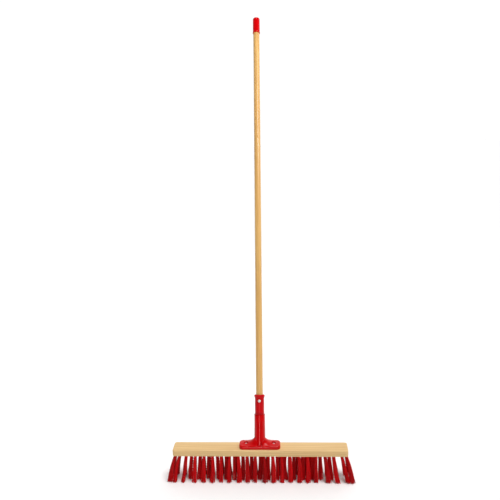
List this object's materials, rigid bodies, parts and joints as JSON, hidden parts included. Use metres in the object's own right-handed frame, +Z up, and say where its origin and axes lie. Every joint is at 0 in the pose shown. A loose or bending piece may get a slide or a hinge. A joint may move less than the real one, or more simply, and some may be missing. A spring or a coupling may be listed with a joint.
{
  "type": "push broom",
  "caption": "Wide floor broom: wooden block with rows of coarse bristle tufts, a moulded holder, and a long round wooden handle that screws into it.",
  "frame": {"origin": "on the floor, at the bristle tips under the middle of the block", "axes": "+X along the block, to the right seen from the front; +Y to the rear, where the user stands and the handle leans; +Z up"},
  "size_m": [0.643, 0.5976, 1.6218],
  "materials": {
    "block_wood": "pale bare wood, fine sanded, straight grain",
    "handle_wood": "clear honey varnish, satin, straight grain",
    "holder_plastic": "glossy moulded red plastic",
    "sleeve_plastic": "satin moulded red plastic",
    "cap_plastic": "glossy moulded red plastic",
    "bristle": "coarse crimped dark red filament",
    "screw_zinc": "bright zinc plate"
  },
  "bodies": {
    "head": {"block": "block_wood", "holder": "holder_plastic", "holder_screw_left": "screw_zinc", "holder_screw_right": "screw_zinc", "tuft_front_01": "bristle", "tuft_front_02": "bristle", "tuft_front_03": "bristle", "tuft_front_04": "bristle", "tuft_front_05": "bristle", "tuft_front_06": "bristle", "tuft_front_07": "bristle", "tuft_front_08": "bristle", "tuft_front_09": "bristle", "tuft_front_10": "bristle", "tuft_front_11": "bristle", "tuft_front_12": "bristle", "tuft_front_13": "bristle", "tuft_front_14": "bristle", "tuft_front_15": "bristle", "tuft_front_16": "bristle", "tuft_front_17": "bristle", "tuft_front_18": "bristle", "tuft_front_19": "bristle", "tuft_front_20": "bristle", "tuft_front_21": "bristle", "tuft_front_22": "bristle", "tuft_rear_01": "bristle", "tuft_rear_02": "bristle", "tuft_rear_03": "bristle", "tuft_rear_04": "bristle", "tuft_rear_05": "bristle", "tuft_rear_06": "bristle", "tuft_rear_07": "bristle", "tuft_rear_08": "bristle", "tuft_rear_09": "bristle", "tuft_rear_10": "bristle", "tuft_rear_11": "bristle", "tuft_rear_12": "bristle", "tuft_rear_13": "bristle", "tuft_rear_14": "bristle", "tuft_rear_15": "bristle", "tuft_rear_16": "bristle", "tuft_rear_17": "bristle", "tuft_rear_18": "bristle", "tuft_rear_19": "bristle", "tuft_row_inner_front": "bristle", "tuft_row_inner_rear": "bristle"},
    "washer": {"seat_washer": "sleeve_plastic"},
    "handle": {"threaded_sleeve": "sleeve_plastic", "handle": "handle_wood", "handle_screw": "screw_zinc", "end_cap": "cap_plastic"}
  },
  "joints": [
    {"name": "thread_travel", "type": "slide", "parent": "head", "child": "washer", "axis": [0, 0.342, 0.9397], "range_m": [0, 0.0201]},
    {"name": "handle_turn", "type": "hinge", "parent": "washer", "child": "handle", "pos_m": [0, 0, 0.116], "axis": [0, 0.342, 0.9397], "range_deg": [0, 1440]}
  ],
  "couplings": [
    {"joint": "thread_travel", "follows": "handle_turn", "m_per_rad": 0.00079577}
  ]
}
